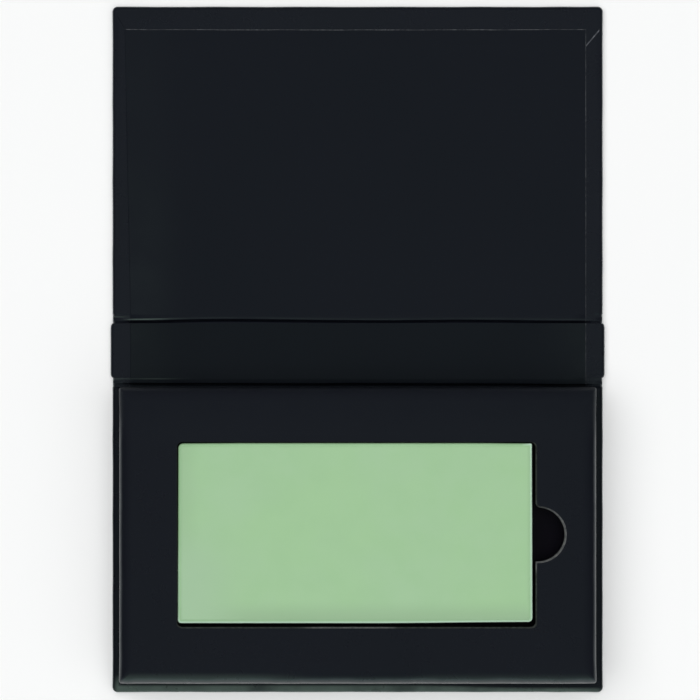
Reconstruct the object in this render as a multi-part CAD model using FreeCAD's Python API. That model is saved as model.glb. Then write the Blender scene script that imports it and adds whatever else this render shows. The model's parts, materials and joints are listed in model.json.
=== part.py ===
import FreeCAD, Part
import os
from collections import namedtuple
from math import sqrt

Vector = FreeCAD.Vector

# Book-style wet palette, opened flat with its inside up. Millimetres.
# X runs across the case, Y from the base's front edge to the cover's far edge, Z up.
# The origin is under the middle of the opened case.

# Covered boards
case_width = 168.0
base_reach = 106.2
cover_overhang = 0.8
board_t = 2.0
wrap_t = 0.2
lining_t = 0.2
board_corner = 1.6
joint_clip = 0.3
spine_overhang = 0.6
edge_round = 0.9
edge_flat = 0.1
turn_in = 15.0
mitre_drop = 7.3
seam_width = 0.25
seam_depth = 0.12
lining_side_margin = 6.15
lining_far_margin = 7.3
lining_tail = 12.0

# Joints between the panels
fold_clear = 0.2
close_clear = 0.3

# Tray
deck_height = 21.4
tray_side_margin = 3.35
tray_front_margin = 4.45
spine_clear = 0.3
edge_roll = 3.4
front_roll = 5.2
tray_corner = 1.2
rail_t = 6.0
seat_width = 2.0
deck_board_t = 1.5
tray_turn_under = 4.0
stay_t = 0.2
stay_leg = 10.0
stay_end_gap = 1.0

# Window with its thumb notch
window_x = -0.5
window_rear_margin = 18.35
window_front_margin = 19.4
window_corner = 1.8
notch_r = 9.1
notch_offset = 0.7
notch_rear_fillet = 1.7
notch_front_fillet = 0.5
least_bend = 0.2
cut_bevel = 0.4

# Liner under the window, and the block that carries it
liner_t = 0.6
liner_gap = 0.2
flange_w = 3.3
flange_play = 0.6
riser_inset = 8.0

# Pad and palette sheet
pad_t = 7.0
pad_corner = 1.5
pad_crown_w = 1.3
pad_crown_h = 0.7
pad_left_clear = 0.2
pad_right_clear = 1.0
pad_rear_clear = 0.35
pad_front_clear = 1.25
pad_recess = 0.5
sheet_t = 0.15
sheet_corner = 1.0

# Closing magnets
magnet_d = 6.0
magnet_spread = 90.0

# Levels through a covered panel
z_board = wrap_t
z_turn_in = z_board + board_t
z_lining = z_turn_in + wrap_t
panel_t = z_lining + lining_t

# Fold axes: each lies in the middle of its groove, halfway through the panel
pivot_z = panel_t / 2
half_gap = panel_t - pivot_z + fold_clear
hinge_pitch = deck_height + close_clear + panel_t - 2 * pivot_z
cover_reach = base_reach + cover_overhang
case_length = base_reach + hinge_pitch + cover_reach

# Places along Y
y_front = -case_length / 2
y_base_axis = y_front + base_reach
y_cover_axis = y_base_axis + hinge_pitch
y_far = case_length / 2
y_base_end = y_base_axis - half_gap
y_spine_start = y_base_axis + half_gap
y_spine_end = y_cover_axis - half_gap
y_cover_start = y_cover_axis + half_gap

# Tray outline, outside its paper
half_width = case_width / 2
tray_half = half_width - tray_side_margin
tray_front = y_front + tray_front_margin
tray_rear = y_base_axis - (panel_t - pivot_z) - spine_clear
z_rail = z_lining + wrap_t
z_deck_board = deck_height - wrap_t
z_deck_under = z_deck_board - deck_board_t
rail_inset = wrap_t + rail_t
seat_inset = rail_inset - seat_width

# Window outline
notch_reach = notch_offset + notch_r
notch_land = rail_inset + flange_play + flange_w + liner_t + liner_gap
window_half = tray_half - notch_land - notch_reach - window_x
window_left = window_x - window_half
window_right = window_x + window_half
window_rear = tray_rear - window_rear_margin
window_front = tray_front + window_front_margin
notch_y = (window_rear + window_front) / 2

# Pad levels
z_sheet_top = deck_height - pad_recess
z_pad_top = z_sheet_top - sheet_t
z_well_floor = z_pad_top - pad_t
z_well_under = z_well_floor - liner_t
pad_left = window_left + pad_left_clear
pad_right = window_right - pad_right_clear
pad_rear = window_rear - pad_rear_clear
pad_front = window_front + pad_front_clear

# The boards' rims are rounded as far as their thickness lets them
board_round = min(edge_round, (board_t - edge_flat) / 2)

# The covering paper follows the boards' clipped corners. All of them, also those of the longer
# spine, come in to one line at the grooves, where the grooves end too.
clip_offset = wrap_t * (sqrt(2) - 1)
spine_clip = joint_clip + spine_overhang
joint_half = half_width - joint_clip + clip_offset

# The three covered panels, and the ends at which their paper is turned over
Panel = namedtuple("Panel", "half y0 y1 front_turned far_turned clip")
base_panel = Panel(half_width, y_front, y_base_end, True, False, joint_clip)
spine_panel = Panel(half_width + spine_overhang, y_spine_start, y_spine_end, False, False, spine_clip)
cover_panel = Panel(half_width, y_cover_start, y_far, False, True, joint_clip)

# Lining edges
lining_half = half_width - lining_side_margin
lining_far = y_far - lining_far_margin

# Magnets stand at one distance from both fold axes, so that they meet when the case is shut
tray_magnet_y = (tray_front + rail_inset + window_front - liner_gap - liner_t) / 2
magnet_reach = y_base_axis - tray_magnet_y
cover_magnet_y = y_cover_axis + magnet_reach


def block(x0, x1, y0, y1, z0, z1):
    return Part.makeBox(x1 - x0, y1 - y0, z1 - z0, Vector(x0, y0, z0))


def on_plan(u, v):
    return Vector(u, v, 0)


def on_cross_section(u, v):
    return Vector(u, 0, v)


def on_long_section(u, v):
    return Vector(0, u, v)


def outline(corners, place=on_plan):
    """A closed wire through right-angled corners (u, v, radius), each rounded where it has a radius."""
    stretches = []
    for i, (u, v, radius) in enumerate(corners):
        here = Vector(u, v, 0)
        back = (Vector(*corners[i - 1][:2], 0) - here).normalize()
        ahead = (Vector(*corners[(i + 1) % len(corners)][:2], 0) - here).normalize()
        centre = here + (back + ahead) * radius
        middle = centre - (back + ahead).normalize() * radius
        stretches.append((here + back * radius, middle, here + ahead * radius, radius))
    edges = []
    for i, (start, middle, end, radius) in enumerate(stretches):
        following = stretches[(i + 1) % len(stretches)][0]
        if radius > 0:
            points = [place(p.x, p.y) for p in (start, middle, end)]
            edges.append(Part.Arc(*points).toShape())
        edges.append(Part.LineSegment(place(end.x, end.y), place(following.x, following.y)).toShape())
    return Part.Wire(edges)


def prism(wire, z0, z1):
    solid = Part.Face(wire).extrude(Vector(0, 0, z1 - z0))
    solid.translate(Vector(0, 0, z0))
    return solid


def plate(x0, x1, y0, y1, z0, z1, front_radius=0.0, rear_radius=0.0):
    corners = [
        (x0, y0, front_radius),
        (x1, y0, front_radius),
        (x1, y1, rear_radius),
        (x0, y1, rear_radius),
    ]
    return prism(outline(corners), z0, z1)


def panel_end(x, y, inwards, turned, radius, clip):
    """The two corners at one end of a panel, left then right: rounded if it is turned, else clipped."""
    if turned:
        return [(-x, y, radius)], [(x, y, radius)]
    left = [(-x, y + inwards * clip, 0.0), (clip - x, y, 0.0)]
    right = [(x - clip, y, 0.0), (x, y + inwards * clip, 0.0)]
    return left, right


def panel_layer(panel, inset, z0, z1, radius, clip):
    """A layer of a covered panel, drawn in on the sides where the covering paper is turned over."""
    x = panel.half - inset
    y0 = panel.y0 + inset * panel.front_turned
    y1 = panel.y1 - inset * panel.far_turned
    front_left, front_right = panel_end(x, y0, 1, panel.front_turned, radius, clip)
    far_left, far_right = panel_end(x, y1, -1, panel.far_turned, radius, clip)
    return prism(outline(front_left + front_right + far_right[::-1] + far_left[::-1]), z0, z1)


def rounded_rims(panel, layer, radius):
    """Round the rims of a panel's turned edges, as far as its clipped corners."""
    rims = []
    clipped = panel.clip + wrap_t
    for edge in layer.Edges:
        box = edge.BoundBox
        level = box.ZLength < radius / 2
        at_front = box.YMax < panel.y0 + clipped and not panel.front_turned
        at_far = box.YMin > panel.y1 - clipped and not panel.far_turned
        if level and not at_front and not at_far:
            rims.append(edge)
    return layer.makeFillet(radius, rims)


def mitre_seam(side, corner_y, away):
    """The slit between two turn-ins, from the panel's side edge to the end of the fold."""
    start = Vector(side * half_width, corner_y + away * mitre_drop, z_lining - seam_depth)
    along = Vector(-side, away, 0).normalize()
    across = Vector(away, side, 0).normalize() * (seam_width / 2)
    end = start + along * (turn_in * sqrt(2) + seam_width)
    start = start - along * seam_width
    wire = Part.makePolygon([start + across, end + across, end - across, start - across, start + across])
    return Part.Face(wire).extrude(Vector(0, 0, 2 * seam_depth))


def board(panel):
    layer = panel_layer(panel, wrap_t, z_board, z_turn_in, board_corner, panel.clip)
    return rounded_rims(panel, layer, board_round)


def wrap(panel):
    """Covering paper: under the board, round its turned edges and onto its inner face."""
    paper = panel_layer(panel, 0.0, 0.0, z_lining, board_corner + wrap_t, panel.clip - clip_offset)
    paper = rounded_rims(panel, paper, board_round + wrap_t).cut(board(panel))
    opening = block(
        turn_in - half_width,
        half_width - turn_in,
        panel.y0 + turn_in * panel.front_turned,
        panel.y1 - turn_in * panel.far_turned,
        z_turn_in,
        z_lining,
    )
    paper = paper.cut(opening)
    for side in (-1, 1):
        if panel.front_turned:
            paper = paper.cut(mitre_seam(side, panel.y0, 1))
        if panel.far_turned:
            paper = paper.cut(mitre_seam(side, panel.y1, -1))
    return paper


def lining(y0, y1, fill_end):
    """Lining sheet that lies on the turn-ins and fills the space between them."""
    sheet = block(-lining_half, lining_half, y0, y1, z_lining, panel_t)
    fill = block(turn_in - half_width, half_width - turn_in, y0, fill_end, z_turn_in, z_lining)
    return sheet.fuse(fill).removeSplitter()


def groove_roll(y_axis, z_rim, z_bed, radius_growth, x0, x1):
    """The cylinder that shapes a pressed groove, from its rim at the panel's face to its bed."""
    depth = abs(z_rim - z_bed)
    radius = (half_gap ** 2 + depth ** 2) / (2 * depth)
    centre_z = z_bed + (radius if z_rim > z_bed else -radius)
    start = Vector(x0, y_axis, centre_z)
    return Part.makeCylinder(radius + radius_growth, x1 - x0, start, Vector(1, 0, 0))


def joint_space(y_axis, x0, x1, z0, z1):
    return block(x0, x1, y_axis - half_gap, y_axis + half_gap, z0, z1)


def joint_lining(y_axis):
    """Lining paper pressed down into the groove."""
    ends = (-lining_half, lining_half)
    groove = (panel_t, pivot_z + lining_t)
    band = groove_roll(y_axis, *groove, lining_t, *ends).cut(groove_roll(y_axis, *groove, 0.0, *ends))
    return band.common(joint_space(y_axis, *ends, pivot_z, panel_t))


def joint_wrap(y_axis):
    """Covering paper pressed up into the groove, folded in and packed flat at both ends."""
    end = joint_half
    under = (0.0, pivot_z - wrap_t)
    over = (panel_t, pivot_z + lining_t)
    space = joint_space(y_axis, -end, end, 0.0, pivot_z)
    band = groove_roll(y_axis, *under, wrap_t, -end, end).common(space)
    for x0, x1 in ((-end, -lining_half), (lining_half, end)):
        fold = joint_space(y_axis, x0, x1, 0.0, panel_t)
        band = band.fuse(fold.cut(groove_roll(y_axis, *over, 0.0, x0, x1)))
    return band.cut(groove_roll(y_axis, *under, 0.0, -end, end)).removeSplitter()


def rolled_block(inset, z0):
    """The tray's outer block: its top edges roll over, widest at the front, and meet in mitres."""
    side_roll = edge_roll - inset
    top = deck_height - inset
    x = tray_half - inset
    y0 = tray_front + inset
    y1 = tray_rear - inset
    cross = [(-x, z0, 0.0), (x, z0, 0.0), (x, top, side_roll), (-x, top, side_roll)]
    long = [(y0, z0, 0.0), (y1, z0, 0.0), (y1, top, side_roll), (y0, top, front_roll - inset)]
    along_y = Part.Face(outline(cross, on_cross_section)).extrude(Vector(0, y1 - y0, 0))
    along_y.translate(Vector(0, y0, 0))
    along_x = Part.Face(outline(long, on_long_section)).extrude(Vector(2 * x, 0, 0))
    along_x.translate(Vector(-x, 0, 0))
    corner = tray_corner - inset
    return along_y.common(along_x).common(plate(-x, x, y0, y1, z0, top, corner, corner))


def tray_layer(inset, z0, z1):
    return block(inset - tray_half, tray_half - inset, tray_front + inset, tray_rear - inset, z0, z1)


def rail(corner_a, corner_b):
    """One side of the tray, mitred at both ends, with a seat for the deck along its inner top edge."""
    ring = rolled_block(wrap_t, z_rail)
    ring = ring.cut(tray_layer(rail_inset, z_rail, deck_height))
    ring = ring.cut(tray_layer(seat_inset, z_deck_under, deck_height))
    low = Vector(0, 0, z_rail)
    outer = [Vector(*corner_a[:2], 0) + low, Vector(*corner_b[:2], 0) + low]
    inner = [Vector(*corner_b[2:], 0) + low, Vector(*corner_a[2:], 0) + low]
    wedge = Part.Face(Part.makePolygon(outer + inner + outer[:1])).extrude(Vector(0, 0, deck_height))
    return ring.common(wedge)


def tray_rails():
    def corner(side_x, y, into):
        return (side_x * tray_half, y, side_x * (tray_half - rail_inset), y + into * rail_inset)

    front_left = corner(-1, tray_front, 1)
    front_right = corner(1, tray_front, 1)
    rear_left = corner(-1, tray_rear, -1)
    rear_right = corner(1, tray_rear, -1)
    return {
        "front_rail": rail(front_left, front_right),
        "right_rail": rail(front_right, rear_right),
        "rear_rail": rail(rear_right, rear_left),
        "left_rail": rail(rear_left, front_left),
    }


def corner_stays():
    """Paper tape folded into the four inner corners of the rails."""
    x = tray_half - rail_inset
    top = z_deck_under - stay_end_gap
    stays = []
    for side in (-1, 1):
        for y, into in ((tray_front + rail_inset, 1), (tray_rear - rail_inset, -1)):
            x_ends = sorted((side * x, side * (x - stay_leg)))
            x_thin = sorted((side * x, side * (x - stay_t)))
            y_ends = sorted((y, y + into * stay_leg))
            y_thin = sorted((y, y + into * stay_t))
            leg = block(*x_ends, *y_thin, z_rail, top)
            stays.append(leg.fuse(block(*x_thin, *y_ends, z_rail, top)).removeSplitter())
    return Part.makeCompound(stays)


def window_outline(grow, z):
    """Window with rounded corners and a thumb notch, which runs into its right edge through two fillets.

    What is cut wider by grow keeps a fillet of at least the least bend.
    """
    x0 = window_left - grow
    x1 = window_right + grow
    y0 = window_front - grow
    y1 = window_rear + grow
    corner = window_corner + grow
    notch = notch_r + grow
    centre = Vector(window_right + notch_offset, notch_y, z)
    bend = corner * (1 - sqrt(0.5))

    def point(x, y):
        return Vector(x, y, z)

    def arc(a, b, c):
        return Part.Arc(a, b, c).toShape()

    def line(a, b):
        return Part.LineSegment(a, b).toShape()

    def fillet_points(side, radius):
        radius = max(radius, grow + least_bend)
        rise = sqrt((notch_r + radius) ** 2 - (radius - notch_offset) ** 2)
        middle = point(window_right + radius, notch_y + side * rise)
        on_edge = point(x1, middle.y)
        on_notch = centre + (middle - centre).normalize() * notch
        bisector = (on_edge - middle).normalize() + (on_notch - middle).normalize()
        half_way = middle + bisector.normalize() * (radius - grow)
        return on_edge, half_way, on_notch

    low_edge, low_bend, low_notch = fillet_points(-1, notch_front_fillet)
    high_edge, high_bend, high_notch = fillet_points(1, notch_rear_fillet)
    return Part.Wire([
        line(point(x0 + corner, y0), point(x1 - corner, y0)),
        arc(point(x1 - corner, y0), point(x1 - bend, y0 + bend), point(x1, y0 + corner)),
        line(point(x1, y0 + corner), low_edge),
        arc(low_edge, low_bend, low_notch),
        arc(low_notch, centre + Vector(notch, 0, 0), high_notch),
        arc(high_notch, high_bend, high_edge),
        line(high_edge, point(x1, y1 - corner)),
        arc(point(x1, y1 - corner), point(x1 - bend, y1 - bend), point(x1 - corner, y1)),
        line(point(x1 - corner, y1), point(x0 + corner, y1)),
        arc(point(x0 + corner, y1), point(x0 + bend, y1 - bend), point(x0, y1 - corner)),
        line(point(x0, y1 - corner), point(x0, y0 + corner)),
        arc(point(x0, y0 + corner), point(x0 + bend, y0 + bend), point(x0 + corner, y0)),
    ])


def window_prism(grow, z0, z1):
    return Part.Face(window_outline(grow, z0)).extrude(Vector(0, 0, z1 - z0))


def tray_wrap():
    """Paper over the deck, rolled down the four sides and turned under the rails."""
    paper = rolled_block(0.0, z_lining).cut(rolled_block(wrap_t, z_rail))
    paper = paper.cut(tray_layer(wrap_t + tray_turn_under, z_lining, z_rail))
    return paper.cut(window_prism(cut_bevel, z_deck_under, deck_height))


def magnet_discs(y, z, thickness):
    discs = []
    for side in (-1, 1):
        foot = Vector(side * magnet_spread / 2, y, z)
        discs.append(Part.makeCylinder(magnet_d / 2, thickness, foot))
    return Part.makeCompound(discs)


def deck_board():
    """Board set in the rails' seat, die-cut for the window with a slightly crushed top edge."""
    deck = tray_layer(seat_inset, z_deck_under, z_deck_board).common(rolled_block(wrap_t, z_rail))
    deck = deck.cut(window_prism(0.0, z_deck_under, z_deck_board))
    crushed = [window_outline(0.0, z_deck_board - cut_bevel), window_outline(cut_bevel, z_deck_board)]
    deck = deck.cut(Part.makeLoft(crushed, True, True))
    return deck.cut(magnet_discs(tray_magnet_y, z_deck_under, deck_board_t))


def well_liner():
    """Watertight tub hung under the deck by a flange, with the window's own outline."""
    grow = liner_gap + liner_t
    reach = grow + flange_w
    flange = plate(
        window_left - reach,
        window_right + notch_reach + reach,
        window_front - reach,
        window_rear + reach,
        z_deck_under - liner_t,
        z_deck_under,
        flange_w,
        flange_w,
    )
    tub = flange.fuse(window_prism(grow, z_well_under, z_deck_under))
    return tub.cut(window_prism(liner_gap, z_well_floor, z_deck_under)).removeSplitter()


def riser_block():
    return block(
        window_left + riser_inset,
        window_right - riser_inset,
        window_front + riser_inset,
        window_rear - riser_inset,
        z_turn_in,
        z_well_under,
    )


def crowned_profile(a, b, place):
    """Section of the pad from a to b: upright sides, then arcs up to a flat top."""
    radius = (pad_crown_w ** 2 + pad_crown_h ** 2) / (2 * pad_crown_h)
    shoulder = z_pad_top - pad_crown_h
    half_run = pad_crown_w / 2
    half_way = z_pad_top - radius + sqrt(radius ** 2 - half_run ** 2)
    low_a, low_b = place(a, z_well_floor), place(b, z_well_floor)
    side_a, side_b = place(a, shoulder), place(b, shoulder)
    top_a, top_b = place(a + pad_crown_w, z_pad_top), place(b - pad_crown_w, z_pad_top)
    return Part.Wire([
        Part.LineSegment(low_a, low_b).toShape(),
        Part.LineSegment(low_b, side_b).toShape(),
        Part.Arc(side_b, place(b - half_run, half_way), top_b).toShape(),
        Part.LineSegment(top_b, top_a).toShape(),
        Part.Arc(top_a, place(a + half_run, half_way), side_a).toShape(),
        Part.LineSegment(side_a, low_a).toShape(),
    ])


def sponge_pad():
    """Lift-out pad: a slab whose top edges are rounded over."""
    across = Part.Face(crowned_profile(pad_left, pad_right, on_cross_section))
    across = across.extrude(Vector(0, pad_rear - pad_front, 0))
    across.translate(Vector(0, pad_front, 0))
    along = Part.Face(crowned_profile(pad_front, pad_rear, on_long_section))
    along = along.extrude(Vector(pad_right - pad_left, 0, 0))
    along.translate(Vector(pad_left, 0, 0))
    slab = plate(pad_left, pad_right, pad_front, pad_rear, z_well_floor, z_pad_top, pad_corner, pad_corner)
    return slab.common(across).common(along)


def palette_sheet():
    return plate(
        pad_left + pad_crown_w,
        pad_right - pad_crown_w,
        pad_front + pad_crown_w,
        pad_rear - pad_crown_w,
        z_pad_top,
        z_sheet_top,
        sheet_corner,
        sheet_corner,
    )


def pieces():
    cover_magnets = magnet_discs(cover_magnet_y, z_board, board_t)
    tail = block(
        turn_in - half_width,
        half_width - turn_in,
        y_base_end - lining_tail,
        y_base_end,
        z_turn_in,
        z_lining,
    )
    found = {
        "base_board": board(base_panel),
        "base_wrap": wrap(base_panel),
        "base_lining": tail,
        "base_joint_wrap": joint_wrap(y_base_axis),
        "base_joint_lining": joint_lining(y_base_axis),
        "spine_board": board(spine_panel),
        "spine_wrap": wrap(spine_panel),
        "spine_lining": lining(y_spine_start, y_spine_end, y_spine_end),
        "cover_joint_wrap": joint_wrap(y_cover_axis),
        "cover_joint_lining": joint_lining(y_cover_axis),
        "cover_board": board(cover_panel).cut(cover_magnets),
        "cover_wrap": wrap(cover_panel),
        "cover_lining": lining(y_cover_start, lining_far, y_far - turn_in),
        "cover_magnets": cover_magnets,
        "corner_stays": corner_stays(),
        "deck_board": deck_board(),
        "tray_wrap": tray_wrap(),
        "tray_magnets": magnet_discs(tray_magnet_y, z_deck_under, deck_board_t),
        "well_liner": well_liner(),
        "riser_block": riser_block(),
        "sponge_pad": sponge_pad(),
        "palette_sheet": palette_sheet(),
    }
    found.update(tray_rails())
    return found


os.makedirs("parts", exist_ok=True)
for node, shape in pieces().items():
    shape.exportStep(f"parts/{node}.step")
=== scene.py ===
import json
from math import acos, cos, degrees, exp, pi, radians, sin, sqrt

import bmesh
import bpy
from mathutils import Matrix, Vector


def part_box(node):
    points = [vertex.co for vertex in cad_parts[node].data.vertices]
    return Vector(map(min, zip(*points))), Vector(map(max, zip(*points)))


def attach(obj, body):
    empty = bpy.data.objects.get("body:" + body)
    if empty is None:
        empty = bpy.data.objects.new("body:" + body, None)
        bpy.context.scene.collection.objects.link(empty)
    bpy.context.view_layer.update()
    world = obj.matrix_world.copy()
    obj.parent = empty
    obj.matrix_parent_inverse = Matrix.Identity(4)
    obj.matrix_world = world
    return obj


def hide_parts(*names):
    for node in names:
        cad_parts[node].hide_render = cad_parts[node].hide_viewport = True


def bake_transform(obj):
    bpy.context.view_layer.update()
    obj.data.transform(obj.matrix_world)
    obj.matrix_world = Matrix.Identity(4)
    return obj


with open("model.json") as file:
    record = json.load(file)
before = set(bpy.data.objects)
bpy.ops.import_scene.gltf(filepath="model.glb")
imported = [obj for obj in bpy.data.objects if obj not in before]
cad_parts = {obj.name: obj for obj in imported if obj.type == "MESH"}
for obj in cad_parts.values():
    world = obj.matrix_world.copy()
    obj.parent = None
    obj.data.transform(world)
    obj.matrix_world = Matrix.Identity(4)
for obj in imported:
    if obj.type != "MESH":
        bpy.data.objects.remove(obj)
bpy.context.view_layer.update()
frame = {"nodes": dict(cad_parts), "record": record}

# Book-style wet palette, opened flat. Sizes below are millimetres in the frame's axes.
MM = 0.001


def box(node):
    """Low and high corner of one solid, in millimetres."""
    low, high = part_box(node)
    return low / MM, high / MM


# Places taken from the frame
cover_low, cover_high = box("cover_wrap")
base_low, base_high = box("base_wrap")
spine_low, spine_high = box("spine_wrap")
lining_low, lining_high = box("cover_lining")
tray_low, tray_high = box("tray_wrap")
pad_low, pad_high = box("sponge_pad")
sheet_low, sheet_high = box("palette_sheet")
fold_end = box("cover_joint_wrap")[1].x
half_width = cover_high.x
spine_half = spine_high.x
joint_clip = half_width - fold_end
spine_clip = spine_half - fold_end
panel_top = cover_high.z
lining_top = lining_high.z

# Covered boards
paper_t = 0.2
rim_radius = 1.1
rim_hold = 0.35
panel_corner = 1.8
least_corner = 0.15
spine_round = 1.6
corner_fade = 3.4
fade_step = 0.5
turn_in = 15.0
edge_sway = 0.12

# Corner flaps of the covering paper, which rise from the rim and towards their cut
flap_insets = (1.3, 2.0, 3.2, 4.6, 6.0, 7.6)
flap_steps = 16
flap_run = 34.0
flap_ramp = 18.0
flap_rise = 0.12
flap_rim = 1.2
flap_rim_run = 0.8
flap_lift = 0.004
flap_sink = 0.06
flap_cut_share = 0.35

# Lining, laid by hand and so a little askew at its left edge
lining_far = 109.62
lining_sag = 0.15
lining_wander = 0.06
lining_right = 78.2
lining_left = 77.8
lining_left_far = 79.8
lining_bevel = 0.2
lining_far_bevel = 0.25
lining_lip = 0.11
lining_lift = 0.002

# The turn-ins' edges, seen through the lining, and the steps of its closer mesh beside them
lining_ghost = 0.07
ghost_blur = 3.5
ghost_columns = (-3.0, -1.5, -0.5, 0.5, 1.5, 3.0)
ghost_rows = (-4.0, -2.5, -1.0, 0.5, 2.0, 4.0)

# Grooves of the two folds: a narrow slit nearer to the front of each, and soft shoulders.
# A bed line is given by knots: place across the case, and share of the gap from its front.
groove_depth = 1.5
groove_sway = 0.02
cover_bed = ((-78, 0.13), (-46, 0.325), (7, 0.155), (36, 0.235), (75, 0.13))
base_bed = ((-78, 0.25), (0, 0.22), (50, 0.20), (78, 0.14))
end_depth = 0.25
end_run = 1.2
slit_share = 0.90
slit_front = 0.46
slit_rear = 0.56
under_depth = 1.0
fold_steps = 40
fold_edge = 0.4
fold_squeeze = 0.3
fold_clear = 0.02

# Tray
side_roll = 3.4
front_roll = 5.2
side_slack = 0.35
front_slack = 0.9
roll_start = 1.4
roll_start_depth = 0.25
tray_corner = 0.7
left_stand_in = 0.14
right_stand_in = 0.15
stand_in_run = 8.0
tray_side_heights = (12.0, 7.0)
tray_foot = 0.3
tray_foot_inset = 0.25
tray_turn_under = 4.0
deck_hold = 0.4

# Window in the deck
window_left = -60.95
window_right = 59.95
window_rear_margin = 18.35
window_front_margin = 19.4
window_corner = 1.8
notch_r = 9.1
notch_offset = 0.7
cut_flush = 0.06
cut_right = 0.45
cut_front = 0.42
cut_notch = 0.5
cut_shift = 0.2
rear_fillet = 1.3
front_fillet = 0.25
window_front = tray_low.y + window_front_margin
window_rear = tray_high.y - window_rear_margin
notch_y = (window_front + window_rear) / 2

# Pad, whose corners run from the front left against the clock, and sheet
pad_corners = (1.2, 1.5, 0.4, 1.7)
pad_least_corner = 0.3
pad_foot = 0.3
pad_foot_inset = 0.5
pad_waist = 0.12
pad_rim_w = 1.25
pad_rim_h = 0.85
pad_top_insets = (2.5, 6.0, 12.0, 20.0, 28.0)
pad_rear_taper = 0.20
pad_front_short = 0.40
pad_rear_short = 0.12
pad_cut_power = 8
sheet_t = 0.12
sheet_ripple = 0.03

# Steps of the meshes round corners and along edges
corner_steps = 6
tray_long_steps = 70
tray_short_steps = 44
pad_corner_steps = 5
pad_long_steps = 40
pad_short_steps = 24

# Camera, straight above the opened case
photo_px = 700
mm_per_px = 0.343
camera_height = 1200.0
camera_x = -2.61
camera_y = -0.2
sensor_width = 36.0

# Room: brightness by height, the share of it kept from rear to front, and the front light
ROOM = (
    (0.0, (0.24, 0.26, 0.27)),
    (0.03, (0.22, 0.24, 0.25)),
    (0.10, (0.04, 0.04, 0.04)),
    (0.24, (0.015, 0.015, 0.018)),
    (0.88, (0.015, 0.015, 0.018)),
    (0.985, (0.125, 0.125, 0.125)),
)
REAR = (
    (0.10, (0.05, 0.05, 0.05)),
    (0.30, (1.0, 1.0, 1.0)),
)
FRONT = (
    (0.54, (0.0, 0.0, 0.0)),
    (0.65, (0.050, 0.058, 0.054)),
    (0.77, (0.13, 0.15, 0.14)),
    (0.87, (0.145, 0.175, 0.16)),
    (0.95, (0.20, 0.25, 0.23)),
    (0.9775, (0.34, 0.44, 0.42)),
    (0.9925, (0.80, 0.98, 1.0)),
)
SUN_SPREAD = 80
FLOOR_REACH = 40000.0

# Sockets of a Mix node that mixes colours
MIX_FIRST = 6
MIX_SECOND = 7
MIX_RESULT = 2


def wave(t, phase):
    """A slow uneven sway between -1 and 1 along t."""
    slow = 0.5 * sin(0.21 * t + phase)
    middling = 0.3 * sin(0.47 * t + 1.7 * phase)
    quick = 0.2 * sin(1.13 * t + 2.9 * phase)
    return slow + middling + quick


def inward(t, phase):
    """The same sway, between 0 and 1."""
    return 0.5 + 0.5 * wave(t, phase)


def smooth(t):
    """An eased rise from 0 to 1 while t does the same, and flat outside that."""
    t = min(1.0, max(0.0, t))
    return t * t * (3 - 2 * t)


def past(value, start, run):
    """An eased rise from 0 at start to 1 a run further on."""
    return smooth((value - start) / run)


def along_path(knots, x):
    """Value at x of a smooth line through (x, value) knots."""
    for (start, low), (end, high) in zip(knots, knots[1:]):
        if x <= end:
            return low + (high - low) * smooth((x - start) / (end - start))
    return knots[-1][1]


def spread(a, b, count):
    """Evenly spaced values after a and before b."""
    return [a + (b - a) * (i + 1) / (count + 1) for i in range(count)]


def spread_line(a, b, count):
    """Evenly spaced points after a and before b."""
    return list(zip(spread(a[0], b[0], count), spread(a[1], b[1], count)))


def quarter_turn(steps):
    """Angles from 0 to 90 degrees, in radians."""
    return [radians(90 * k / steps) for k in range(steps + 1)]


def arc(cx, cy, radius, start, end, steps=corner_steps):
    """Points on an arc between two angles in degrees."""
    angles = [radians(start + (end - start) * i / steps) for i in range(steps + 1)]
    return [(cx + radius * cos(a), cy + radius * sin(a)) for a in angles]


def corner_arcs(left, right, front, rear, radii, steps=corner_steps):
    """Arcs round a rectangle's four corners, from the front left against the clock."""
    corners = ((left, front, 1, 1), (right, front, -1, 1), (right, rear, -1, -1), (left, rear, 1, -1))
    arcs = []
    for k, ((x, y, to_right, to_rear), radius) in enumerate(zip(corners, radii)):
        start = 180 + 90 * k
        arcs.append(arc(x + to_right * radius, y + to_rear * radius, radius, start, start + 90, steps))
    return arcs


def loft(rings, closed):
    """Vertices of rings with equal counts, and the quads between them."""
    count = len(rings[0])
    verts = [point for ring in rings for point in ring]
    faces = []
    for k in range(len(rings) - 1):
        for i in range(count if closed else count - 1):
            j = (i + 1) % count
            faces.append((k * count + i, k * count + j, (k + 1) * count + j, (k + 1) * count + i))
    return verts, faces


def make_piece(name, verts, faces, materials, marks=None, sharp=40):
    """A mesh object from points in millimetres, smooth except at edges over an angle in degrees."""
    mesh = bpy.data.meshes.new(name)
    mesh.from_pydata([[c * MM for c in v] for v in verts], [], faces)
    for material in materials:
        mesh.materials.append(material)
    if marks:
        mesh.polygons.foreach_set("material_index", marks)
    shape = bmesh.new()
    shape.from_mesh(mesh)
    bmesh.ops.recalc_face_normals(shape, faces=shape.faces[:])
    shape.to_mesh(mesh)
    shape.free()
    mesh.shade_smooth()
    mesh.set_sharp_from_angle(angle=radians(sharp))
    piece = bpy.data.objects.new(name, mesh)
    bpy.context.scene.collection.objects.link(piece)
    return piece


def thicken(piece):
    """Give a paper skin its thickness inwards, with its second material on the cut edges."""
    solid = piece.modifiers.new("thickness", "SOLIDIFY")
    solid.thickness = paper_t * MM
    solid.offset = -1
    solid.material_offset_rim = 1
    return piece


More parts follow.
